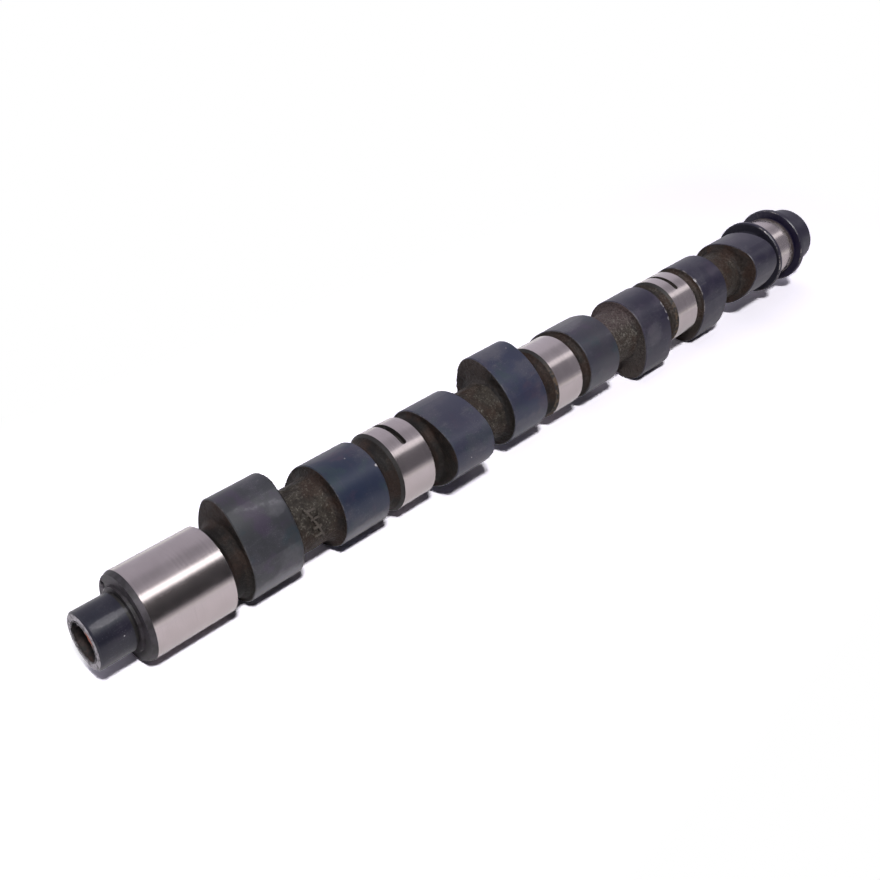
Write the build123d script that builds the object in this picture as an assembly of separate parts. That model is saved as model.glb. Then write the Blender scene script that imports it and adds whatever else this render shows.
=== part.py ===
from build123d import *
import os
from math import acos, cos, radians, sin

os.makedirs("parts", exist_ok=True)

# Camshaft of a four-cylinder overhead-cam engine, one chilled-iron casting, in millimetres.
# The shaft axis is X and +Z is up. The origin is on the axis, in the shoulder of journal 1 where
# the timing sprocket seats, and X runs from there to the rear end. The roll is the one that the
# shaft lies at on a flat floor. An angle is counted from straight up towards -Y.

# Cylinder spacing and the phase of the lobes
cylinder_pitch = 96.0
lobe_spread = 42.4                   # along the shaft, between the two lobes of one cylinder
lobe_separation = 108.0              # degrees, between the noses of those two lobes
cylinder_phase = [0, 90, -90, 180]   # degrees, each cylinder's first lobe against cylinder 1
rest_roll = -13.5                    # degrees, angle of the nose of lobe 1

# Lobe form: base circle, nose, and the convex flanks that join them
lobe_width = 22.0
base_radius = 17.7
lobe_lift = 7.1
nose_radius = 12.0
flank_radius = 32.0
lobe_edge = 0.4

# Bearing journals
journal_d = 34.9
front_journal_length = 34.0
middle_journal_length = 18.4
middle_journal_shift = 0.55          # towards the rear, from halfway between two cylinders
journal_front_chamfer = 1.2
journal_rear_chamfer = 0.5
lead_in_length = 1.9                 # longer chamfer at the front of journal 1
lead_in_depth = 0.9

# Cast necks, and the low ridge that the mould's parting line leaves on them
neck_d = 25.6                        # between the two lobes of a cylinder
neck_flare = 3.6
neck_flat_angle = 30.0               # degrees that each flat of a flare turns
web_d = 28.4                         # between a lobe and a journal or the thrust flange
front_web_length = 7.2
rear_web_length = 8.4
web_foot = 1.8
parting_height = 0.35
parting_sweep = 6.0                  # degrees of the neck that the ridge covers
parting_angle = -15.0

# Sprocket seat: pilot, relief groove and register boss
pilot_d = 22.3
pilot_length = 15.3
pilot_chamfer = 0.7
register_d = 25.2
register_height = 1.1
pilot_relief_d = 20.4
pilot_relief_width = 1.1

# Holes in the front end
bolt_mouth_d = 15.4
bolt_mouth_depth = 5.0
bolt_mouth_edge = 0.5
bolt_drill_d = 12.5
bolt_drill_depth = 38.0
drill_tip_angle = 118.0
dowel_d = 2.8
dowel_depth = 7.0
dowel_circle_r = 14.6
dowel_angle = -58.5

# Oil slots milled in journals 2 and 4
slotted_journals = [2, 4]
slot_width = 2.6
slot_depth = 2.2
slot_front_angle = 28.0
slot_sweep = 118.0                   # degrees, from there over the top and down towards +Y

# Rear end: thrust flange, journal 5, end flange and tail
thrust_flange_width = 2.6
thrust_flange_d = 42.0
rear_journal_length = 20.8
relief_width = 1.8
relief_depth = 0.45
end_flange_width = 3.4
end_flange_d = 43.0
flange_edge = 0.5
tail_d = 33.2
tail_length = 17.5
tail_chamfer = 1.0
centre_hole_d = 9.0
centre_hole_angle = 60.0
centre_drill_d = 4.0
centre_drill_depth = 6.0

cut_clearance = 1.0                  # how far a cutter starts outside the surface that it cuts

# Places that follow from these sizes
cylinders = len(cylinder_phase)
journal_r = journal_d / 2
first_cylinder_x = front_journal_length + front_web_length + lobe_width / 2 + lobe_spread / 2
cylinder_x = [first_cylinder_x + cylinder_pitch * n for n in range(cylinders)]
middle_journal_x = [
    x + cylinder_pitch / 2 + middle_journal_shift - middle_journal_length / 2 for x in cylinder_x[:-1]
]
thrust_flange_x = cylinder_x[-1] + lobe_spread / 2 + lobe_width / 2 + rear_web_length
rear_journal_x = thrust_flange_x + thrust_flange_width
end_flange_x = rear_journal_x + rear_journal_length
tail_x = end_flange_x + end_flange_width
rear_end_x = tail_x + tail_length


def turned(*corners):
    """Solid of revolution about the shaft axis, from the (x, radius) corners of its outline."""
    return revolve(make_face(Polyline(*corners, close=True)), Axis.X)


def tan_degrees(angle):
    return sin(radians(angle)) / cos(radians(angle))


def on_shaft(x, radius, angle):
    """Point at a station, a radius and an angle of the shaft."""
    return Vector(x, -radius * sin(radians(angle)), radius * cos(radians(angle)))


def across_shaft(x, angle):
    """Plane across the shaft that faces the rear, its Y axis at the given angle."""
    side = (0, cos(radians(angle)), sin(radians(angle)))
    return Plane(origin=(x, 0, 0), x_dir=side, z_dir=(1, 0, 0))


def journal(x, length, front_length=journal_front_chamfer, front_depth=journal_front_chamfer):
    """Ground journal, with the length and depth of its front chamfer."""
    end = x + length
    return turned(
        (x, 0), (x, journal_r - front_depth), (x + front_length, journal_r),
        (end - journal_rear_chamfer, journal_r), (end, journal_r - journal_rear_chamfer), (end, 0),
    )


def flared(start, end, radius, flare, flat_angle):
    """Round bar that flares into a face at both ends, each flare a hollow quarter arc in flats."""
    steps = round(90 / flat_angle)

    def arc_point(step):
        turn = radians(90 * step / steps)
        return flare * (1 - cos(turn)), radius + flare * (1 - sin(turn))

    front = [(start + along, r) for along, r in map(arc_point, range(steps + 1))]
    rear = [(start + end - x, r) for x, r in reversed(front)]
    return turned((start, 0), *front, *rear, (end, 0))


def cast_neck(start, end):
    """Neck between the two lobes of a cylinder, with a parting ridge along each side."""
    neck = flared(start, end, neck_d / 2, neck_flare, neck_flat_angle)
    # The ridge runs out in the flares. Its section lies towards +Y, a quarter turn from straight up.
    low, high = neck_d / 4, neck_d / 2 + parting_height
    ridge_start = start + neck_flare / 2
    ridge_end = end - neck_flare / 2
    section = make_face(Polyline(
        (ridge_start, low), (ridge_start, high), (ridge_end, high), (ridge_end, low), close=True,
    ))
    ridge = revolve(section, Axis.X, parting_sweep)
    for side in (parting_angle, parting_angle + 180):
        neck += ridge.rotate(Axis.X, 90 + side - parting_sweep / 2)
    return neck


def web(start, end):
    """Short cast web between a lobe and a journal or flange, with a sloping foot at both ends."""
    return flared(start, end, web_d / 2, web_foot, 90)


def lobe_outline():
    """Face of a lobe with its nose towards +Y, drawn with tangent arcs."""
    nose_y = base_radius + lobe_lift - nose_radius
    from_base = flank_radius - base_radius
    from_nose = flank_radius - nose_radius
    lean = acos((nose_y ** 2 + from_base ** 2 - from_nose ** 2) / (2 * nose_y * from_base))
    flank_centre = Vector(-from_base * sin(lean), from_base * cos(lean))
    nose_centre = Vector(0, nose_y)
    base_end = flank_centre * (-base_radius / from_base)
    nose_start = nose_centre + (nose_centre - flank_centre) * (nose_radius / from_nose)
    chord_middle = (base_end + nose_start) * 0.5
    flank_middle = flank_centre + (chord_middle - flank_centre).normalized() * flank_radius

    def other_side(point):
        return Vector(-point.X, point.Y)

    base = ThreePointArc(other_side(base_end), (0, -base_radius), base_end)
    flank = ThreePointArc(base_end, flank_middle, nose_start)
    nose = ThreePointArc(nose_start, (0, base_radius + lobe_lift), other_side(nose_start))
    closing = ThreePointArc(other_side(nose_start), other_side(flank_middle), other_side(base_end))
    return make_face([base, flank, nose, closing])


def lobe(x, angle):
    """Cam lobe centred on a station, with its nose at an angle."""
    blank = extrude(across_shaft(x - lobe_width / 2, angle) * lobe_outline(), lobe_width)
    rims = blank.faces().sort_by(Axis.X)
    return chamfer(rims[0].edges() + rims[-1].edges(), lobe_edge)


def oil_slot(x):
    """Cutter's path of an oil slot, around the journal with a round end."""
    floor = journal_r - slot_depth
    top = journal_r + cut_clearance
    half = slot_width / 2
    section = make_face(Polyline(
        (x - half, floor), (x + half, floor), (x + half, top), (x - half, top), close=True,
    ))
    path = revolve(section, Axis.X, slot_sweep)
    path = path.rotate(Axis.X, 90 + slot_front_angle - slot_sweep)
    for angle in (slot_front_angle, slot_front_angle - slot_sweep):
        bottom = on_shaft(x, floor, angle)
        mill = Plane(origin=bottom, z_dir=bottom - Vector(x, 0, 0))
        path += extrude(mill * Circle(half), slot_depth + cut_clearance)
    return path


def sprocket_seat():
    """Pilot with its relief groove and the register boss on the shoulder of journal 1."""
    end = -pilot_length
    relief = -register_height - pilot_relief_width
    return turned(
        (end, 0),
        (end, pilot_d / 2 - pilot_chamfer),
        (end + pilot_chamfer, pilot_d / 2),
        (relief, pilot_d / 2),
        (relief, pilot_relief_d / 2),
        (-register_height, pilot_relief_d / 2),
        (-register_height, register_d / 2),
        (0, register_d / 2),
        (0, 0),
    )


def rear_end():
    """Thrust flange, journal 5 between its relief grooves, end flange and tail."""
    def flange(x, width, diameter):
        r = diameter / 2
        return turned(
            (x, 0), (x, r - flange_edge), (x + flange_edge, r),
            (x + width - flange_edge, r), (x + width, r - flange_edge), (x + width, 0),
        )

    relief_r = journal_r - relief_depth
    ground = turned(
        (rear_journal_x, 0),
        (rear_journal_x, relief_r),
        (rear_journal_x + relief_width, relief_r),
        (rear_journal_x + relief_width, journal_r),
        (end_flange_x - relief_width, journal_r),
        (end_flange_x - relief_width, relief_r),
        (end_flange_x, relief_r),
        (end_flange_x, 0),
    )
    tail = turned(
        (tail_x, 0), (tail_x, tail_d / 2), (rear_end_x - tail_chamfer, tail_d / 2),
        (rear_end_x, tail_d / 2 - tail_chamfer), (rear_end_x, 0),
    )
    thrust = flange(thrust_flange_x, thrust_flange_width, thrust_flange_d)
    return thrust + ground + flange(end_flange_x, end_flange_width, end_flange_d) + tail


def bolt_hole():
    """Sprocket bolt hole: edge chamfer, plain mouth, tapping drill and drill tip."""
    end = -pilot_length
    mouth = bolt_mouth_d / 2
    drill = bolt_drill_d / 2
    tip = drill / tan_degrees(drill_tip_angle / 2)
    return turned(
        (end, 0),
        (end, mouth + bolt_mouth_edge),
        (end + bolt_mouth_edge, mouth),
        (end + bolt_mouth_depth, mouth),
        (end + bolt_mouth_depth + mouth - drill, drill),
        (end + bolt_drill_depth, drill),
        (end + bolt_drill_depth + tip, 0),
    )


def centre_hole():
    """Centre for grinding in the rear end: cone, drill and drill tip."""
    rim = centre_hole_d / 2
    drill = centre_drill_d / 2
    cone_end = rear_end_x - (rim - drill) / tan_degrees(centre_hole_angle / 2)
    drill_end = cone_end - centre_drill_depth
    return turned(
        (rear_end_x, 0), (rear_end_x, rim), (cone_end, drill),
        (drill_end, drill), (drill_end - drill / tan_degrees(drill_tip_angle / 2), 0),
    )


def dowel_hole():
    """Hole for the sprocket dowel, in the shoulder of journal 1."""
    start = across_shaft(-cut_clearance, dowel_angle)
    return extrude(start * Pos(0, dowel_circle_r) * Circle(dowel_d / 2), dowel_depth + cut_clearance)


def lobe_places():
    """Station and nose angle of each lobe, from front to rear."""
    places = []
    for x, phase in zip(cylinder_x, cylinder_phase):
        first = rest_roll + phase
        places.append((x - lobe_spread / 2, first))
        places.append((x + lobe_spread / 2, first - lobe_separation))
    return places


def camshaft():
    """The whole casting, joined from front to rear, then drilled and slotted."""
    shaft = sprocket_seat()
    shaft += journal(0, front_journal_length, lead_in_length, lead_in_depth)
    for x in middle_journal_x:
        shaft += journal(x, middle_journal_length)
    shaft += rear_end()

    lobes = lobe_places()
    half = lobe_width / 2
    journal_spans = [(0, front_journal_length)]
    journal_spans += [(x, x + middle_journal_length) for x in middle_journal_x]
    journal_spans += [(thrust_flange_x, rear_end_x)]
    for n in range(cylinders):
        first, second = lobes[2 * n][0], lobes[2 * n + 1][0]
        shaft += web(journal_spans[n][1], first - half)
        shaft += cast_neck(first + half, second - half)
        shaft += web(second + half, journal_spans[n + 1][0])
    for x, angle in lobes:
        shaft += lobe(x, angle)

    shaft -= bolt_hole()
    shaft -= dowel_hole()
    shaft -= centre_hole()
    for number in slotted_journals:
        shaft -= oil_slot(middle_journal_x[number - 2] + middle_journal_length / 2)
    return shaft


export_step(camshaft(), "parts/camshaft.step")
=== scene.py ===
# %% [markdown]
# # A camshaft, dressed
# The frame holds one iron casting: a camshaft with eight lobes and five bearing journals. Its CAD
# solid already has the right shape, so it stays, and this lesson gives it what CAD leaves plain:
# the rough skin of the mould, a thread, a worn bolt hole and a finish for each kind of surface.

# %% Load the frame
from math import atan2, cos, degrees, pi, radians, sin

import bpy
from mathutils import Matrix, Vector
from mathutils.geometry import intersect_point_line


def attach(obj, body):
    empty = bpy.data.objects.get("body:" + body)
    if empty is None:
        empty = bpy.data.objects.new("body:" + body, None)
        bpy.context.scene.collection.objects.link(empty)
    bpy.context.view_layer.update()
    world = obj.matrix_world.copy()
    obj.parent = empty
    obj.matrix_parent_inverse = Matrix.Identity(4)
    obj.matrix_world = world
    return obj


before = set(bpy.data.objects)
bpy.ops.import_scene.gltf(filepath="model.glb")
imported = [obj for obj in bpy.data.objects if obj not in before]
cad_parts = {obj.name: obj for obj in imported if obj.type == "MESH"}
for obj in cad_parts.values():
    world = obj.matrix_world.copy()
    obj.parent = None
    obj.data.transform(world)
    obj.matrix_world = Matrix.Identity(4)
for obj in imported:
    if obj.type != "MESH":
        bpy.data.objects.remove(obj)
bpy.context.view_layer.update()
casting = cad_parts["camshaft"]

# %% [markdown]
# ## The stations of the shaft
# Every surface of a turned part is found by two numbers: its station along the axis and its radius.
# The shaft axis is X, with zero in the shoulder that the timing sprocket seats on. The stations are
# the drawing's own, in millimetres, and Blender's metres come in only where a mesh is made. A place
# round the shaft is an angle in degrees, from straight up towards the camera's side.

# %% Stations and radii, in millimetres
MM = 0.001
pitch = 96.0
cylinders = 4
pilot_front, pilot_relief = -15.3, (-2.3, -1.1)
register_r, mouth_r, drill_r = 12.6, 7.7, 6.25
drill_front, drill_end = -8.85, 22.0
journal_r, neck_r = 17.45, 12.8
# The bright part of each journal, and the blocks with chamfers that the middle journals stand on.
front_journal, rear_journal = (1.9, 33.5), (406.4, 423.6)
first_middle_journal, first_middle_block = (113.95, 130.65), (112.75, 131.15)
front_block_end = 34.0
thrust_flange, end_flange, rear_end = (402.0, 404.6), (425.4, 428.8), 446.3
lobe_width = 22.0
lobe_fronts = [x + pitch * n for n in range(cylinders) for x in (41.2, 83.6)]
lobe_spans = [(x, x + lobe_width) for x in lobe_fronts]
print("lobes from", lobe_spans[0][0], "to", lobe_spans[-1][1], "mm")

# %% [markdown]
# ## The camera
# The camera stands where the photographer's did, found by fitting the shaft axis, the lobes and the
# journals to the picture. A fitted camera comes as three directions, which are the columns of its
# turning matrix, a focal length in pixels, and the pixel that it looks straight at. Blender wants the
# focal length in millimetres of its sensor, and the pixel as a shift in parts of the picture's width.

# %% Camera
picture_px = 880
focal_px = 1077.14
aim_px = (510.85, 323.77)
camera_place = Vector((-116.40, -282.41, 264.67)) * MM
camera_right = Vector((0.67401, -0.73869, 0.00682))
camera_up = Vector((0.34703, 0.32477, 0.87983))

camera_data = bpy.data.cameras.new("photo_camera")
camera_data.sensor_width = 36.0
camera_data.lens = focal_px / picture_px * camera_data.sensor_width
camera_data.shift_x = (picture_px / 2 - aim_px[0]) / picture_px
camera_data.shift_y = (aim_px[1] - picture_px / 2) / picture_px
camera_data.clip_start, camera_data.clip_end = 0.01, 20.0
camera = bpy.data.objects.new("photo_camera", camera_data)
turn = Matrix((camera_right, camera_up, camera_right.cross(camera_up))).transposed()
camera.matrix_world = Matrix.Translation(camera_place) @ turn.to_4x4()
bpy.context.scene.collection.objects.link(camera)
bpy.context.scene.camera = camera
bpy.context.scene.view_settings.view_transform = "Standard"
print("lens", round(camera_data.lens, 2), "mm")
print("shift", round(camera_data.shift_x, 3), round(camera_data.shift_y, 3))

# %% [markdown]
# ## Helpers for modelling
# An operator works on whatever is selected, so a maker's first habit is to let go of everything and
# take hold of one object. The second is to apply a modifier as soon as it is set, so that the next
# step starts from a plain mesh.

# %% Hold, modify, finish
def hold(piece):
    """Select one object and nothing else."""
    bpy.ops.object.select_all(action="DESELECT")
    piece.select_set(True)
    bpy.context.view_layer.objects.active = piece


def modify(piece, kind, **settings):
    """Put a modifier on a piece and apply it."""
    hold(piece)
    modifier = piece.modifiers.new(kind.lower(), kind)
    for name, value in settings.items():
        setattr(modifier, name, value)
    bpy.ops.object.modifier_apply(modifier=modifier.name)


def finish_piece(piece, material, smooth_angle=40):
    """Shade, paint and hang a finished piece on the shaft's body."""
    hold(piece)
    bpy.ops.object.transform_apply(location=True, rotation=True, scale=True)
    bpy.ops.object.shade_smooth_by_angle(angle=radians(smooth_angle))
    piece.data.materials.clear()
    piece.data.materials.append(material)
    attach(piece, "root")
    print(piece.name, len(piece.data.polygons), "faces")


# %% [markdown]
# ## Shader maths in Python
# A pattern on metal is arithmetic on a place: how far along the shaft, how far from its axis, how
# much noise. Node by node that is slow to read. A small class that wraps a socket lets Python's
# own + - * and > add the Math nodes, so that a finish reads like the sum that it is. A surface is
# kept as what it looks like, a colour, a roughness, how metallic it is and a height, and a mask lays
# one surface over another.

# %% Wires and finishes
def set_stops(ramp, stops):
    """Give a colour ramp its stops, which run from 0 to 1."""
    ramp.elements[0].color = (*stops[0][1], 1)
    ramp.elements[-1].color = (*stops[-1][1], 1)
    for position, colour in stops[1:-1]:
        ramp.elements.new(position).color = (*colour, 1)


class Wire:
    """An output socket that takes part in sums."""

    def __init__(self, nodes, socket):
        self.nodes = nodes
        self.socket = socket

    def sum_with(self, operation, first, second):
        """A Math node on two wires or numbers."""
        return self.nodes.node("Math", {"operation": operation}, {0: first, 1: second})

    def __add__(self, other):
        return self.sum_with("ADD", self, other)

    def __sub__(self, other):
        return self.sum_with("SUBTRACT", self, other)

    def __rsub__(self, other):
        return self.sum_with("SUBTRACT", other, self)

    def __mul__(self, other):
        return self.sum_with("MULTIPLY", self, other)

    def __truediv__(self, other):
        return self.sum_with("DIVIDE", self, other)

    def __pow__(self, other):
        return self.sum_with("POWER", self, other)

    def __gt__(self, other):
        return self.sum_with("GREATER_THAN", self, other)

    def __lt__(self, other):
        return self.sum_with("LESS_THAN", self, other)

    __radd__ = __add__
    __rmul__ = __mul__

    def between(self, low, high):
        """1 where the value lies between two bounds."""
        return (self > low) * (self < high)

    def rise(self, low, high):
        """0 below low, 1 above high, and a soft step between them."""
        return self.nodes.node(
            "MapRange", {"interpolation_type": "SMOOTHSTEP"},
            {"Value": self, "From Min": low, "From Max": high},
        )

    def __abs__(self):
        return self.sum_with("ABSOLUTE", self, 0)


class Nodes:
    """A node tree whose nodes are all added by one method."""

    def __init__(self, owner):
        owner.use_nodes = True
        self.tree = owner.node_tree
        self.tree.nodes.clear()

    def node(self, kind, settings=None, inputs=None, output=0):
        """Add a node: its settings first, then its sockets' values or wires. Returns an output."""
        node = self.tree.nodes.new("ShaderNode" + kind)
        for name, value in (settings or {}).items():
            if name == "stops":
                set_stops(node.color_ramp, value)
            else:
                setattr(node, name, value)
        for name, value in (inputs or {}).items():
            if isinstance(value, Wire):
                self.tree.links.new(value.socket, node.inputs[name])
            elif isinstance(value, tuple) and len(value) == 3 and node.inputs[name].type == "RGBA":
                node.inputs[name].default_value = (*value, 1)
            else:
                node.inputs[name].default_value = value
        return Wire(self, node.outputs[output]) if node.outputs else None

    def mix(self, mask, under, over):
        """Colour over another colour, where the mask is 1."""
        return self.node("Mix", {"data_type": "RGBA"}, {0: mask, 6: under, 7: over}, output=2)


class Finish(Nodes):
    """A material, with the place on the shaft ready to be used in its sums."""

    def __init__(self, name):
        self.material = bpy.data.materials.new(name)
        super().__init__(self.material)
        place = self.node("TexCoord", output="Object")
        self.place = self.node("VectorMath", {"operation": "SCALE"}, {0: place, "Scale": 1 / MM})
        self.x = self.node("SeparateXYZ", inputs={0: self.place}, output="X")
        self.y = self.node("SeparateXYZ", inputs={0: self.place}, output="Y")
        self.z = self.node("SeparateXYZ", inputs={0: self.place}, output="Z")
        self.radius = (self.y * self.y + self.z * self.z) ** 0.5
        self.angle = self.node("Math", {"operation": "ARCTAN2"}, {0: 0 - self.y, 1: self.z}) * degrees(1)

    def noise(self, scale, detail=2.0, rough=0.5, place=None):
        """Cloudy noise with a number of clouds per millimetre."""
        return self.node(
            "TexNoise", None,
            {"Vector": place or self.place, "Scale": scale, "Detail": detail, "Roughness": rough},
        )

    def cells(self, scale):
        """Distance to the nearest of scattered points, with a number of points per millimetre."""
        return self.node("TexVoronoi", inputs={"Vector": self.place, "Scale": scale})

    def rings(self, along, turns, across=0.0):
        """A place that runs in rings round the shaft, for marks left by turning and grinding."""
        rolled_out = {0: self.x * along, 1: self.angle * turns, 2: self.radius * across}
        return self.node("CombineXYZ", inputs=rolled_out)

    def spot(self, station, angle, half_length, half_spread):
        """1 in the middle of an oval place on the shaft, and 0 outside its ragged edge."""
        along = (self.x - station) / half_length
        around = (self.angle - angle) / half_spread
        away = along * along + around * around + (self.noise(0.3, 4.0, 0.6) - 0.5) * 2
        return 1 - away.rise(0.2, 1.1)

    def paint(self, surface, specular=0.5):
        """Wire a surface to the material's output, and hand over the material."""
        normal = self.node("Bump", None, {"Height": surface.height, "Distance": MM, "Strength": 1.0})
        shader = self.node("BsdfPrincipled", None, {
            "Base Color": surface.colour, "Roughness": surface.roughness,
            "Metallic": surface.metallic, "Normal": normal, "Specular IOR Level": specular,
        })
        self.node("OutputMaterial", None, {"Surface": shader})
        return self.material


class Surface:
    """What one kind of surface looks like. The height is in millimetres."""

    def __init__(self, colour, roughness, metallic, height):
        self.colour = colour
        self.roughness = roughness
        self.metallic = metallic
        self.height = height

    def under(self, finish, mask, over):
        """This surface with another laid over it where the mask is 1."""
        def blend(low, high):
            return (1 - mask) * low + mask * high

        return Surface(
            finish.mix(mask, self.colour, over.colour),
            blend(self.roughness, over.roughness),
            blend(self.metallic, over.metallic),
            blend(self.height, over.height),
        )


# %% [markdown]
# ## Ground steel
# The journals are ground bright: pinkish steel with fine rings round it. A ring is noise on a place
# that changes fast along the shaft and hardly at all round it. A stone never cuts quite evenly, so
# broad smudges shift the tone a little. On the last journal rust has crept in from both ends.

# %% Ground steel
def ground_steel(finish):
    """Bearing journal, ground bright."""
    lines = finish.noise(1.0, 3.0, place=finish.rings(7.0, 0.01))
    smudge = finish.noise(0.11, 3.0)
    tone = lines.rise(0.3, 0.7) * 0.65 + smudge.rise(0.3, 0.7) * 0.35
    colour = finish.mix(tone, (0.44, 0.390, 0.385), (0.55, 0.490, 0.485))
    start, end = rear_journal
    near_end = finish.x.rise(start + 3.2, start) * (finish.x > start - 1) + finish.x.rise(end - 7, end)
    rust = (near_end + (finish.noise(0.30, 5.0, 0.65) - 0.5) * 1.6).rise(0.25, 0.95)
    return Surface(
        finish.mix(rust * 0.95, colour, (0.034, 0.021, 0.020)),
        0.155 + lines * 0.06 + smudge * 0.04 + rust * 0.35,
        1.0 - smudge * 0.04 - rust * 0.9,
        lines * 0.0005,
    )


# %% [markdown]
# ## Black phosphate
# The lobes, pilot, flanges and tail were blacked with phosphate, which is satin and slate blue. Its
# crystals are never even, so it has blooms of violet and teal, paler clouds, fine rings from the
# grinding below it and a few bright specks. The base tint shifts from lobe to lobe. Where something
# has rubbed along it, it is scuffed lighter, and on edges it is worn through to iron. The same light
# mark is also laid as painted sheen where the lobes and the pilot reflect the room and the floor.

# %% Black phosphate, scuffed and worn through
def black_phosphate(finish, tint):
    """Blacked satin surface of a lobe, pilot or flange, in clouds of violet and teal."""
    cloud = finish.noise(0.06, 4.0, 0.6)
    grain = finish.noise(1.8, 3.0)
    lines = finish.noise(1.0, 2.0, place=finish.rings(1.6, 0.01))
    rubs = finish.noise(1.0, 5.0, 0.7, place=finish.rings(0.10, 0.12))
    rubbed = rubs.rise(0.54, 0.72) * cloud.rise(0.42, 0.60)
    bloom = finish.noise(0.085, 4.0, 0.6, place=finish.rings(0.8, 0.30, 0.8))
    specks = 1 - finish.cells(0.10).rise(0.015, 0.035)
    speckle = finish.noise(2.6, 2.0, 0.6).rise(0.60, 0.70) * cloud.rise(0.40, 0.60)
    # The blooms are strongest on the lobes, a little weaker on the last ones, and faint at both ends.
    on_lobes = finish.x.rise(0, 40) * (1 - finish.x.rise(395, 410))
    lively = 0.2 + on_lobes * (1 - finish.x.rise(270, 300) * 0.35) * 0.8
    colour = finish.mix(bloom.rise(0.52, 0.66) * lively * 0.7, tint, (0.042, 0.028, 0.055))
    teal = bloom.rise(0.46, 0.34) * lively * (1 - finish.x.rise(250, 290) * 0.8)
    colour = finish.mix(teal * 0.6, colour, (0.016, 0.034, 0.044))
    colour = finish.mix(cloud.rise(0.48, 0.66) * lively * 0.4, colour, (0.062, 0.057, 0.076))
    colour = finish.mix(lines.rise(0.50, 0.75) * 0.15, colour, (0.052, 0.048, 0.066))
    colour = finish.mix(rubbed * 0.45, colour, (0.100, 0.096, 0.110))
    colour = finish.mix(speckle * 0.5, colour, (0.150, 0.144, 0.160))
    colour = finish.mix(specks, colour, (0.42, 0.40, 0.42))
    return Surface(
        colour,
        0.24 + finish.x.rise(-5, 40) * 0.05 + cloud * 0.16 + grain * 0.06,
        0.0,
        grain * 0.03 + lines * 0.003 + rubbed * 0.01,
    )


def scuff_and_sheen(finish):
    """Light, dry mark where something has rubbed along the black, also laid as painted sheen."""
    patch = finish.noise(0.8, 3.0)
    colour = finish.mix(patch, (0.060, 0.058, 0.070), (0.180, 0.172, 0.195))
    return Surface(colour, 0.50, 0.0, patch * 0.02)


def bare_edge(finish):
    """Edge where the black has worn through to iron."""
    patch = finish.noise(0.8, 3.0)
    return Surface(
        finish.mix(patch.rise(0.45, 0.62), (0.030, 0.028, 0.032), (0.34, 0.31, 0.31)),
        0.40 + patch * 0.1,
        patch.rise(0.45, 0.62) * 0.6,
        patch * 0.01,
    )


# %% [markdown]
# ## Cast skin
# Between the ground blocks is the skin that the sand left: olive-brown, gritty and matt. It is
# lightest on the necks, where pale grit flecks it and is painted brighter as painted glints on the
# grains, and darker on the sides of the lobes. The narrow webs are painted near black as painted
# shade, parts of two lobe faces are painted paler as painted light, and the tops of the raised tally
# are painted lighter as a painted highlight. Old rust stains it, more so towards the rear, where the
# skin is paler and redder and the last neck shows rings from a lathe.

# %% Cast skin
def cast_skin(finish):
    """Sand-cast skin: specked on the necks, darker on the sides of the lobes and collars."""
    grit = finish.noise(1.3, 5.0, 0.70)
    blotch = finish.noise(0.30, 4.0, 0.65)
    stain = finish.noise(0.08, 3.0).rise(0.45, 0.62)
    rusty = finish.x.rise(190, 330)
    rear = finish.x.rise(200, 260)
    third_neck = finish.x.between(254, 277)
    # The raised tally stands as far out as a lobe's side, but it belongs to the neck.
    marks = finish.x.between(69.5, 76.5) * finish.angle.between(40, 102)
    side = finish.radius.rise(13.2, 13.9) * (1 - marks)
    neck = finish.mix(blotch.rise(0.38, 0.64), (0.020, 0.015, 0.011), (0.044, 0.036, 0.028))
    dark = finish.mix(blotch.rise(0.42, 0.70), (0.008, 0.006, 0.005), (0.020, 0.014, 0.011))
    neck = finish.mix(rear * 0.5, neck, (0.062, 0.049, 0.043))
    dark = finish.mix(rear * 0.6, dark, (0.046, 0.035, 0.030))
    # The narrow webs are painted near black: painted shade deep between the blocks.
    web_shade = finish.radius.between(13.7, 14.6)
    dark = finish.mix(web_shade * 0.6, dark, (0.003, 0.002, 0.002))
    colour = finish.mix(side, neck, dark)
    colour = finish.mix(stain * (0.5 + rusty * 0.2), colour, (0.040, 0.019, 0.012))
    reddish = third_neck * (1 - finish.angle.rise(25, 55))
    colour = finish.mix(reddish * 0.65, colour, (0.092, 0.064, 0.066))
    # Parts of the front faces of lobes 4 and 6 are painted paler: painted light on those faces.
    face_light_paint = finish.spot(276, 130, 2.5, 55) * 0.7 + finish.spot(179, -25, 2.5, 35) * 0.5
    colour = finish.mix(face_light_paint, colour, (0.066, 0.054, 0.050))
    colour = finish.mix(grit.rise(0.48, 0.36) * 0.7, colour, (0.008, 0.006, 0.005))
    # Pale grit flecks the necks, painted brighter as painted glints where light catches the grains. On
    # the third neck the coarser glints lie on the side towards the key lamp.
    grit_and_glints = (grit + rear * 0.035).rise(0.55, 0.62) * blotch.rise(0.35, 0.60)
    grit_and_glints = grit_and_glints * (1 - side * (0.85 - rear * 0.25)) * (1 - finish.x.rise(335, 355) * 0.6)
    coarse_glints = finish.noise(0.75, 3.0, 0.6).rise(0.55, 0.62) * third_neck
    grit_and_glints = grit_and_glints + coarse_glints * finish.angle.rise(25, 55) * (1 - finish.angle.rise(75, 105)) * 0.5
    colour = finish.mix(grit_and_glints * 0.7, colour, (0.180, 0.165, 0.145))
    # The tops of the raised tally strokes are painted lighter: a painted highlight.
    colour = finish.mix(finish.radius.rise(13.3, 13.7) * marks * 0.7, colour, (0.105, 0.088, 0.076))
    turned = finish.noise(1.0, 2.0, place=finish.rings(0.9, 0.01)) * finish.x.rise(330, 360) * (1 - side)
    blacked = finish.x.rise(thrust_flange[0] - 1.8, thrust_flange[0] - 0.8)
    return Surface(
        finish.mix(blacked, colour, (0.013, 0.012, 0.022)),
        0.48 + blotch * 0.25,
        0.0,
        grit * 0.32 + blotch * 0.10 + turned * 0.8,
    )
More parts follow.
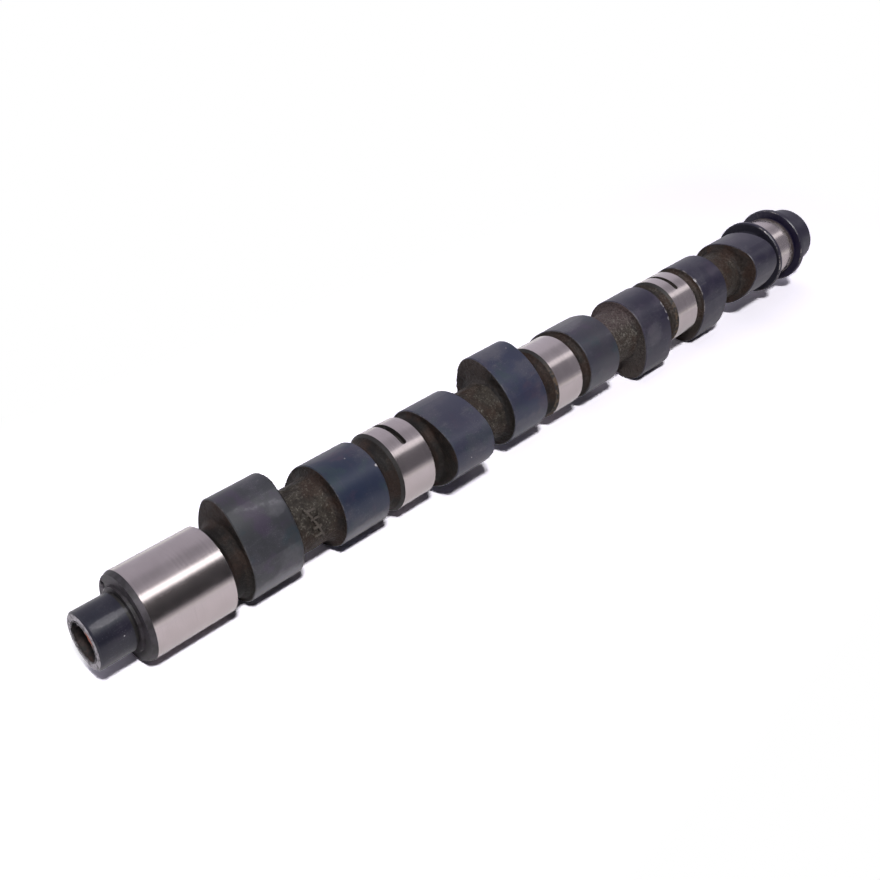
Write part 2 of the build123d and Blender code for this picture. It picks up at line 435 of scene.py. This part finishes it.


# %% [markdown]
# ## Small surfaces
# Four small surfaces finish the edges. The shoulders of journal 1 are turned and then blacked, so they
# are dark with faint rings. The collars of the middle journals carry brown scale, except the first.
# The front face of the pilot has worn to grey iron, and the wall of the bolt hole is brown with rust,
# painted nearly black as shade deep in the hole.

# %% Turned black, scale, worn iron and rust
def turned_black(finish):
    """Shoulder of journal 1, or thread, turned and then blacked."""
    rings = finish.noise(1.0, 2.0, place=finish.rings(2.4, 0.01, 2.4))
    patch = finish.noise(0.25, 3.0)
    return Surface(
        finish.mix(patch.rise(0.35, 0.65), (0.010, 0.008, 0.009), (0.062, 0.054, 0.063)),
        0.42 + patch * 0.2,
        patch.rise(0.35, 0.65) * 0.5,
        rings * 0.012,
    )


def scaled_rim(finish):
    """Chamfer of a collar: black at the front of the shaft, with brown scale further back."""
    patch = finish.noise(0.55, 4.0, 0.65)
    scale = patch.rise(0.46, 0.58) * finish.x.rise(170, 215) * finish.angle.rise(20, 60)
    return Surface(
        finish.mix(scale * 0.8, (0.012, 0.010, 0.009), (0.110, 0.068, 0.040)),
        0.5 + patch * 0.2,
        0.0,
        patch * 0.15,
    )


def worn_face(finish):
    """Front face of the pilot, where the black has worn to grey iron."""
    patch = finish.noise(0.6, 4.0, 0.65)
    bare = patch.rise(0.36, 0.56)
    return Surface(
        finish.mix(bare, (0.080, 0.070, 0.076), (0.42, 0.40, 0.42)),
        0.46 + patch * 0.2,
        bare * 0.75,
        patch * 0.10,
    )


def rusty_bore_in_shade(finish):
    """Wall of the bolt hole, brown with old rust and painted nearly black as shade deep in the hole."""
    patch = finish.noise(0.35, 4.0, 0.6)
    return Surface(
        finish.mix(patch.rise(0.40, 0.62), (0.005, 0.004, 0.004), (0.034, 0.019, 0.017)),
        0.65 + patch * 0.2,
        0.0,
        patch * 0.15,
    )


# %% [markdown]
# ## The finish of the casting
# The casting is one mesh with one material, so masks say where each surface goes. Most need nothing
# but the station and the radius: a journal is what lies within its span and close to its radius, a
# lobe is what lies within its span. The lobes repeat with the bore pitch, so the station is wrapped
# round the pitch once, and one pair of spans then serves all four cylinders. What doesn't repeat is
# wear and painted sheen: an oval place here and there, given by its station and its angle.

# %% Worn places
# Where the black is painted lighter: station, angle, half length, half spread in degrees, and how
# strongly. A few are rubs, such as the scratched patch on lobe 6; most are painted sheen and painted
# highlight, near the tops and low on the undersides of the lobes and on the pilot, where the black
# reflects the room and the white floor.
rubs_and_sheen_places = [
    (-8, 33, 9, 8, 0.6),
    (59, 27, 5, 8, 0.4), (57, 92, 6, 24, 0.35), (52, 119, 14, 22, 1.0),
    (95, -30, 13, 22, 0.6), (95, 122, 15, 24, 1.0),
    (148, -10, 11, 20, 0.2),
    (188, -14, 10, 12, 0.35), (190, 102, 12, 18, 0.4),
    (240, -14, 12, 20, 0.75), (240, 104, 12, 20, 0.35),
    (284, 80, 7, 20, 0.35), (289, -12, 10, 16, 0.2),
    (382, -20, 10, 14, 0.2),
]
# Bright chips on rims: station, angle, half length and half spread.
chipped_places = [
    (105.4, 38, 1.3, 3), (297.4, 42, 1.3, 6), (297.4, 55, 1.3, 5), (297.4, 68, 1.3, 4),
    (329.4, 35, 1.3, 4),
]
# The base tint of the black, by the part of the way from the shoulder to the rear end.
tint_stops = [
    (0.00, (0.008, 0.008, 0.018)), (0.09, (0.031, 0.032, 0.037)), (0.14, (0.029, 0.030, 0.037)),
    (0.20, (0.010, 0.018, 0.044)), (0.33, (0.030, 0.030, 0.056)), (0.43, (0.019, 0.024, 0.056)),
    (0.55, (0.035, 0.033, 0.046)), (0.65, (0.010, 0.007, 0.026)), (0.85, (0.008, 0.005, 0.024)),
    (1.00, (0.009, 0.006, 0.024)),
]


def scuffs_and_sheen(finish):
    """A thin scratched line over lobe 1 with a haze beside it, and the rubs and painted sheen."""
    line = 10 + (finish.x - 45) * 0.66 + (finish.noise(0.16, 3.0) - 0.5) * 12
    off_line = abs(finish.angle - line)
    scratched = (1 - off_line.rise(0.3, 2.6)) * finish.noise(0.5, 4.0, 0.6).rise(0.36, 0.62) * 0.6
    haze = (1 - off_line.rise(0.5, 5.5)) * 0.25
    mask = (scratched + haze) * finish.x.rise(42, 48) * (1 - finish.x.rise(60, 63.5))
    for *oval, strength in rubs_and_sheen_places:
        mask = finish.spot(*oval) * strength + mask
    return mask


# %% [markdown]
# ### Layer by layer
# The layers follow the shaft's making and its wear: cast, turned, blacked, then rubbed and chipped;
# painted sheen and a painted reflection of the floor go in with the rubs.
# The bright journals come last, so that no mask of the surfaces beside them can spill over them.

# %% Casting finish
def camshaft_finish():
    """The casting's material: its surfaces, laid one over another by their masks."""
    finish = Finish("camshaft_finish")
    x, radius, angle = finish.x, finish.radius, finish.angle
    # Beyond this radius lie only lobes, collars and flanges.
    blocks = radius > 16.0
    # The wrapped station starts in the web behind journal 1, where nothing is cut in two.
    wrap_from = 36.0
    on_cylinders = x.between(wrap_from, thrust_flange[0] - 1)
    station = finish.node("Math", {"operation": "WRAP"}, {0: x, 1: wrap_from, 2: wrap_from + pitch})
    edge, rim = 0.06, 0.38

    lobes, rims = 0, 0
    for front in lobe_fronts[:2]:
        rear = front + lobe_width
        lobes = station.between(front + edge, rear - edge) + lobes
        rims = station.between(front + edge, front + rim) + rims
        rims = station.between(rear - rim, rear - edge) + rims
    lobes = lobes * on_cylinders
    # The edges are worn most on lobes 6 and 7.
    rims = rims * on_cylinders * (0.15 + x.rise(275, 300) * (1 - x.rise(330, 345)) * 0.6)
    for front, rear in (thrust_flange, end_flange, (rear_end, rear_end)):
        rims = rims + x.between(front, front + rim) + x.between(rear - rim, rear)
    register_rim = x.between(-1.15, -0.85) * (radius > register_r - 0.4)
    rims = rims * blocks + register_rim

    journals = station.between(*first_middle_journal) * on_cylinders
    journals = journals + x.between(*front_journal) + x.between(*rear_journal)
    journals = journals * (radius > journal_r - 0.12)
    bright_start, bright_end = first_middle_journal
    chamfers = station.between(bright_start - 1.3, bright_start)
    chamfers = chamfers + station.between(bright_end, bright_end + 0.6)
    shoulders = x.between(pilot_relief[0], front_journal[0])
    shoulders = shoulders + x.between(front_journal[1], front_journal[1] + 0.6)
    relief = x.between(*pilot_relief) * (radius < register_r - 0.2)
    pilot = x.between(pilot_front + 0.05, pilot_relief[0]) * (radius > 9.0)
    flanges = x > thrust_flange[0]
    bore = (radius < mouth_r + 0.1) * (x < drill_end + 20)
    # Low on the two front lobes, where they face the white floor, the black is painted lighter and
    # duller: a painted reflection of the floor.
    floor_reflection_paint = x.between(40, 107) * angle.rise(98, 116) * (1 - angle.rise(128, 150)) * lobes
    chips = 0
    for oval in chipped_places:
        chips = finish.spot(*oval) + chips

    tint = finish.node("ValToRGB", {"stops": tint_stops}, {0: x / rear_end}, output="Color")
    black, scaled, worn = black_phosphate(finish, tint), scaled_rim(finish), worn_face(finish)
    surface = cast_skin(finish)
    for mask, layer in (
        (shoulders, turned_black(finish)),
        (relief, scaled),
        (chamfers * on_cylinders * blocks, scaled),
        (lobes, black),
        (pilot + flanges, black),
        (scuffs_and_sheen(finish) * 0.8, scuff_and_sheen(finish)),
        (floor_reflection_paint * 0.55, Surface((0.230, 0.225, 0.245), 0.5, 0.0, 0.0)),
        (rims * finish.noise(0.12, 3.0).rise(0.42, 0.60), bare_edge(finish)),
        (chips.rise(0.2, 0.5) * (radius > journal_r - 0.55), worn),
        (x < pilot_front + 0.06, worn),
        (bore, rusty_bore_in_shade(finish)),
        (journals, ground_steel(finish)),
    ):
        surface = surface.under(finish, mask, layer)
    return finish.paint(surface)


casting.material_slots[0].material = camshaft_finish()
print("casting painted:", len(casting.active_material.node_tree.nodes), "nodes")

# %% [markdown]
# ## The cast skin, in real relief
# Sand leaves a skin that a flat CAD surface can't have: grains and pits up to a few tenths of a
# millimetre deep, and soft fillets where a neck runs into the lobes. A bump map would fake it only in
# the middle of a surface, so each pocket between two blocks gets a skin of its own. A copy of the
# casting is cut to the pocket, remeshed to an even fine net, smoothed, and pushed in and out by noise.
# The part that would lie inside the neighbouring lobes is sunk and then cut off flat, so that each
# skin is a closed body whose ends hide in the metal.
#
# Castings carry a raised mark of their mould. Here it is a plain tally of five, four bars along the
# shaft and one across them, on the neck behind lobe 1. A point of the remeshed neck is lifted where
# it lies close enough to one of the strokes, with the neck rolled out flat.

# %% Cut, remesh and roughen one pocket
def cut_across(piece, station, keep_rear):
    """Cut a closed mesh across the shaft, keep one side and close the cut."""
    hold(piece)
    bpy.ops.object.mode_set(mode="EDIT")
    bpy.ops.mesh.select_all(action="SELECT")
    bpy.ops.mesh.bisect(
        plane_co=(station * MM, 0, 0), plane_no=(1, 0, 0), use_fill=True,
        clear_inner=keep_rear, clear_outer=not keep_rear,
    )
    bpy.ops.object.mode_set(mode="OBJECT")


def mark(piece, name, wanted):
    """A vertex group of the points that are wanted by their place in millimetres."""
    group = piece.vertex_groups.new(name=name)
    group.add([v.index for v in piece.data.vertices if wanted(v.co / MM)], 1.0, "REPLACE")
    return name


def cloud_texture(name, size, depth):
    """Clouds of a size in millimetres, for the Displace modifier."""
    texture = bpy.data.textures.new(name, "CLOUDS")
    texture.noise_scale = size * MM
    texture.noise_depth = depth
    return texture


lumps = cloud_texture("casting_lumps", 4.0, 1)
grains = cloud_texture("casting_grains", 1.3, 2)
pocket_overlap, sunk_depth, face_depth = 2.0, 0.3, 0.08
tally_middle = 73.0
bar_angles = (46, 61, 76, 91)
strokes = [((71.0, a), (75.0, a)) for a in bar_angles] + [((70.6, 40), (75.4, 98))]
tally = [[Vector((x, radians(angle) * neck_r)) for x, angle in stroke] for stroke in strokes]
stroke_half_width, stroke_height = 0.45, 0.75


def on_tally(place):
    """Whether a point of the neck lies on one of the raised strokes."""
    unrolled = Vector((place.x, atan2(-place.y, place.z) * neck_r))
    for start, end in tally:
        nearest, part = intersect_point_line(unrolled, start, end)
        if 0 < part < 1 and (nearest.to_2d() - unrolled).length < stroke_half_width:
            return True
    return False


def cast_pocket(name, start, end, voxel, lump_height, grain_height):
    """Skin of the pocket from one block's rear face to the next block's front face."""
    def is_shown(place):
        return start - face_depth < place.x < end + face_depth

    def is_sunk(place):
        return not is_shown(place)

    def push(group, height, **settings):
        modify(skin, "DISPLACE", strength=height * MM, vertex_group=group, **settings)

    skin = bpy.data.objects.new(name, casting.data.copy())
    bpy.context.scene.collection.objects.link(skin)
    hold(skin)
    bpy.ops.object.mode_set(mode="EDIT")
    bpy.ops.mesh.select_all(action="SELECT")
    bpy.ops.mesh.remove_doubles(threshold=0.002 * MM)
    bpy.ops.object.mode_set(mode="OBJECT")
    cut_across(skin, start - pocket_overlap, keep_rear=True)
    cut_across(skin, end + pocket_overlap, keep_rear=False)
    modify(skin, "REMESH", mode="VOXEL", voxel_size=voxel * MM)
    modify(skin, "SMOOTH", factor=0.5, iterations=3)
    shown = mark(skin, "shown", is_shown)
    sunk = mark(skin, "sunk", is_sunk)
    push(shown, lump_height, texture=lumps, mid_level=0.2)
    push(shown, grain_height, texture=grains, mid_level=0.3)
    if start < tally_middle < end:
        push(mark(skin, "tally", on_tally), stroke_height, mid_level=0.0)
    push(sunk, -sunk_depth, mid_level=0.0)
    cut_across(skin, start - sunk_depth, keep_rear=True)
    cut_across(skin, end + sunk_depth, keep_rear=False)
    skin.vertex_groups.clear()
    return skin


# %% [markdown]
# ### Twelve pockets
# A pocket runs from the rear face of one block to the front face of the next, so the faces of all the
# blocks in order, taken two by two, give the pockets. The long ones are the necks within a cylinder,
# which get a finer net and a rougher skin. The short ones are the webs beside the journals.

# %% All pockets, from front to rear
skin_finish = Finish("cast_skin_finish")
cast_material = skin_finish.paint(cast_skin(skin_finish), specular=0.25)
shortest_neck = 15.0
neck_settings = {"voxel": 0.28, "lump_height": 0.60, "grain_height": 0.50}
web_settings = {"voxel": 0.45, "lump_height": 0.25, "grain_height": 0.12}

block_faces = [front_block_end] + [face for span in lobe_spans for face in span] + [thrust_flange[0]]
for n in range(cylinders - 1):
    block_faces += [face + pitch * n for face in first_middle_block]
block_faces.sort()
pockets = zip(block_faces[0::2], block_faces[1::2])
for number, (start, end) in enumerate(pockets, 1):
    is_neck = end - start > shortest_neck
    kind, settings = ("neck", neck_settings) if is_neck else ("web_shade", web_settings)
    skin = cast_pocket(f"{kind}_skin_{number}", start, end, **settings)
    finish_piece(skin, cast_material, smooth_angle=60)

# %% [markdown]
# ## Thread in the bolt hole
# The sprocket bolt screws into the drilled hole. A thread is one tooth that turns and advances, which
# is what the Screw modifier does with a small closed outline. The tooth stands on the drilled wall,
# its foot is inside the metal, and it starts below the plain mouth of the hole.

# %% Thread
thread_pitch, thread_depth, thread_steps = 1.5, 0.45, 40
tooth_half_width, tooth_foot = 0.62, 0.12
thread_start = drill_front + 1.2
thread_turns = int((drill_end - drill_front - 2) / thread_pitch)
tooth = [(-tooth_half_width, tooth_foot), (0.0, -thread_depth), (tooth_half_width, tooth_foot)]

bpy.ops.object.select_all(action="DESELECT")
bpy.ops.mesh.primitive_circle_add(vertices=3, radius=thread_depth * MM, fill_type="NOTHING")
thread = bpy.context.object
thread.name = "bolt_thread"
for vertex, (along, outward) in zip(thread.data.vertices, tooth):
    vertex.co = Vector((thread_start + along, drill_r + outward, 0)) * MM
modify(
    thread, "SCREW", axis="X", angle=2 * pi, screw_offset=thread_pitch * MM, iterations=thread_turns,
    steps=thread_steps, render_steps=thread_steps, use_merge_vertices=False,
)
hold(thread)
bpy.ops.object.mode_set(mode="EDIT")
bpy.ops.mesh.select_all(action="SELECT")
bpy.ops.mesh.fill_holes(sides=3)
bpy.ops.mesh.normals_make_consistent(inside=False)
bpy.ops.object.mode_set(mode="OBJECT")
thread_finish = Finish("thread_finish")
finish_piece(thread, thread_finish.paint(turned_black(thread_finish)), smooth_angle=30)

# %% [markdown]
# ## A rusty burr on the mouth of the hole
# The edge of the bolt hole is knocked about and rusty. A chamfer in the material would stay a clean
# circle, so a thin ring of real lumps is laid on the edge: a torus, pushed about by the same clouds
# as the cast skin until it is ragged, and half sunk in the face. It is grey iron, with fresh rust on
# the side towards the camera.

# %% Burr
burr_r, burr_thickness, burr_height = mouth_r + 0.12, 0.30, 0.55
rust_angle = 48

bpy.ops.object.select_all(action="DESELECT")
bpy.ops.mesh.primitive_torus_add(
    major_radius=burr_r * MM, minor_radius=burr_thickness * MM, major_segments=180, minor_segments=12,
    location=(pilot_front * MM, 0, 0), rotation=(0, pi / 2, 0),
)
burr = bpy.context.object
burr.name = "mouth_burr"
bpy.ops.object.transform_apply(location=True, rotation=True)
modify(burr, "DISPLACE", texture=grains, strength=burr_height * MM, mid_level=0.55)
modify(burr, "SUBSURF", levels=1, render_levels=1)

burr_finish = Finish("burr_finish")
scale = burr_finish.noise(0.5, 3.0, 0.6)
burr_colour = burr_finish.mix(scale.rise(0.42, 0.58), (0.030, 0.026, 0.028), (0.160, 0.150, 0.160))
rusted = 1 - abs(burr_finish.angle - rust_angle).rise(6, 26)
burr_colour = burr_finish.mix(rusted, burr_colour, (0.26, 0.085, 0.060))
burr_surface = Surface(burr_colour, 0.55 + scale * 0.2, 0.2, scale * 0.1)
finish_piece(burr, burr_finish.paint(burr_surface))

# %% [markdown]
# ## The floor
# The shaft lies as it comes to rest: on the front journal and two lobes, which leaves its axis
# leaning by a little over one degree. The frame keeps the axis level, so here the floor leans instead.
# A product photograph burns its white paper out, and keeps only the shadow beside the object. Paper
# that bright would also flood the shaft from below, so the floor has a colour for each kind of ray:
# the brightest for the camera, a plain one for the light that it throws back, and for reflections
# one that darkens towards the camera. Beyond the shadow's reach the paper simply glows white.

# %% Floor
rest_lean = 1.22
floor_drop = 17.41
floor_middle = 200.0
floor_side = 8.0
floor_z = -floor_drop - floor_middle * sin(radians(rest_lean))

bpy.ops.object.select_all(action="DESELECT")
bpy.ops.mesh.primitive_plane_add(size=floor_side, location=(floor_middle * MM, 0, floor_z * MM))
floor = bpy.context.object
floor.name = "studio_floor"
floor.rotation_euler = (0, radians(rest_lean), 0)

floor_finish = Finish("studio_floor")
# The place is counted from the middle of the floor, and towards the camera is along -Y.
along_floor, across_floor = floor_finish.x, floor_finish.y
towards_camera = (0 - across_floor).rise(100, 380)
seen = floor_finish.node("LightPath", output="Is Camera Ray")
mirrored = floor_finish.node("LightPath", output="Is Glossy Ray")
direct = mirrored * (floor_finish.node("LightPath", output="Diffuse Depth") < 1)
paper = floor_finish.mix(seen, (0.85, 0.84, 0.86), (1.50, 1.45, 1.57))
# Reflections on the way back from a matt surface see dark paper: painted shade that keeps the contact
# shadow dark where the steel would throw the white floor into it.
paper = floor_finish.mix(mirrored, paper, (0.30, 0.29, 0.32))
bright = floor_finish.mix(towards_camera, (1.0, 0.97, 1.0), (0.30, 0.29, 0.30))
paper = floor_finish.mix(direct, paper, bright)
shaded = floor_finish.node("BsdfDiffuse", None, {"Color": paper})
white = floor_finish.node("Emission", None, {"Color": (1, 1, 1), "Strength": 1.0})
close = (1 - abs(across_floor).rise(90, 180)) * (1 - abs(along_floor).rise(300, 420))
# Beside the pilot, on its far side, the paper glows white for the camera over most of the key's
# shadow: painted light on the floor.
glow_over_pilot_shadow = (0 - along_floor).rise(185, 205) * across_floor.rise(3, 13)
mirrored_far = direct * (1 - towards_camera * 0.8)
far = (1 - close) * (seen + mirrored_far) + close * glow_over_pilot_shadow * seen * 0.7
both = floor_finish.node("MixShader", None, {0: far, 1: shaded, 2: white})
floor_finish.node("OutputMaterial", None, {"Surface": both})
floor.data.materials.append(floor_finish.material)
print("floor leans", rest_lean, "degrees and passes", floor_drop, "mm under the shoulder")

# %% [markdown]
# ## Three lamps
# A small key lamp, high above the camera and behind it, draws the hard narrow shadow beside the shaft.
# The long bright line on every journal is a lamp much longer than the shaft, seen in the steel. It
# stands overhead, leaning towards the camera's side, in two lengths: a brighter one over the shaft and
# before it, and a dimmer one beyond its rear end. Diffuse light leaves both out, so that they show in
# reflections alone and the key's shadow stays dark.

# %% Soft boxes
def soft_box(name, middle, direction, distance, size, radiance):
    """A lamp that faces a place from a direction, with a size and a brightness."""
    bpy.ops.object.light_add(type="AREA")
    lamp = bpy.context.object
    lamp.name = name
    lamp.data.shape = "RECTANGLE"
    lamp.data.size, lamp.data.size_y = size
    lamp.data.energy = radiance * pi * size[0] * size[1]
    towards = Vector(direction).normalized()
    lamp.location = middle + towards * distance
    lamp.rotation_mode = "QUATERNION"
    lamp.rotation_quaternion = towards.to_track_quat("Z", "Y")
    print(name, "at", [round(c, 2) for c in lamp.location], "m,", round(lamp.data.energy, 1), "W")
    return lamp


shaft_middle = Vector((0.2, 0, 0))
streak_lean = radians(27)
overhead = (0, -sin(streak_lean), cos(streak_lean))
soft_box("key_softbox", shaft_middle, (-0.38, -0.56, 1.0), 1.4, (0.14, 0.14), 250.0)
near_streak = soft_box("near_streak_softbox", Vector((-0.5, 0, 0)), overhead, 1.0, (2.1, 0.27), 2.6)
far_streak = soft_box("far_streak_softbox", Vector((1.45, 0, 0)), overhead, 1.0, (1.8, 0.29), 1.0)
for streak in (near_streak, far_streak):
    streak.visible_diffuse = False

# %% [markdown]
# ## The room
# Bright steel shows the room that it stands in. Round a shaft that lies along X, the room is a set of
# long bands, given by their angle from overhead towards the camera: bright behind the shaft, grey
# overhead, and dark on the camera's side, which is the dark stripe on the journals. Reflections that
# run along the shaft see a paler band there. The light that falls on matt surfaces has tones of its
# own, darker ahead of the pilot and near the horizon, so that the shadows keep their depth. To the
# camera itself the room is white.

# %% World
world = bpy.data.worlds.new("studio")
bpy.context.scene.world = world
room = Nodes(world)
direction = room.node("TexCoord", output="Generated")
along, behind, above = (room.node("SeparateXYZ", inputs={0: direction}, output=axis) for axis in "XYZ")
lean = room.node("Math", {"operation": "ARCTAN2"}, {0: 0 - behind, 1: above}) * degrees(1)


def room_tones(tones):
    """Tones of the room by the angle from overhead towards the camera's side, in degrees."""
    stops = [((angle + 180) / 360, (tone * 0.91, tone * 0.88, tone)) for angle, tone in tones]
    return room.node("ValToRGB", {"stops": stops}, {0: lean / 360 + 0.5}, output="Color")


beside_camera = room_tones([
    (-180, 0.8), (-90, 0.70), (-50, 0.66), (-30, 0.62), (-14, 0.45), (0, 0.45), (8, 0.55), (28, 0.42),
    (40, 0.04), (88, 0.02), (91, 0.8), (180, 0.9),
])
beyond_camera = room_tones([
    (-180, 0.9), (-90, 0.82), (-50, 0.78), (-26, 0.74), (-14, 0.50), (0, 0.45), (8, 0.52), (28, 0.42),
    (40, 0.34), (88, 0.34), (91, 0.8), (180, 0.9),
])
fill = room_tones([
    (-180, 0.6), (-90, 0.6), (-30, 0.6), (5, 0.30), (22, 0.03), (84, 0.02), (95, 0.6), (180, 0.6),
])
fill = room.mix((0 - along).rise(0.2, 0.6) * 0.6, fill, (0.0, 0.0, 0.0))
fill = room.mix(above.rise(0.35, 0.05) * 0.6, fill, (0.0, 0.0, 0.0))
glossy = room.node("LightPath", output="Is Glossy Ray")
mirrored = room.mix(abs(along).rise(0.42, 0.68), beside_camera, beyond_camera)
lit = room.node("Background", None, {"Color": room.mix(glossy, fill, mirrored), "Strength": 1.0})
plain = room.node("Background", None, {"Color": (1, 1, 1), "Strength": 1.0})
seen = room.node("LightPath", output="Is Camera Ray")
room.node("OutputWorld", None, {"Surface": room.node("MixShader", None, {0: seen, 1: lit, 2: plain})})
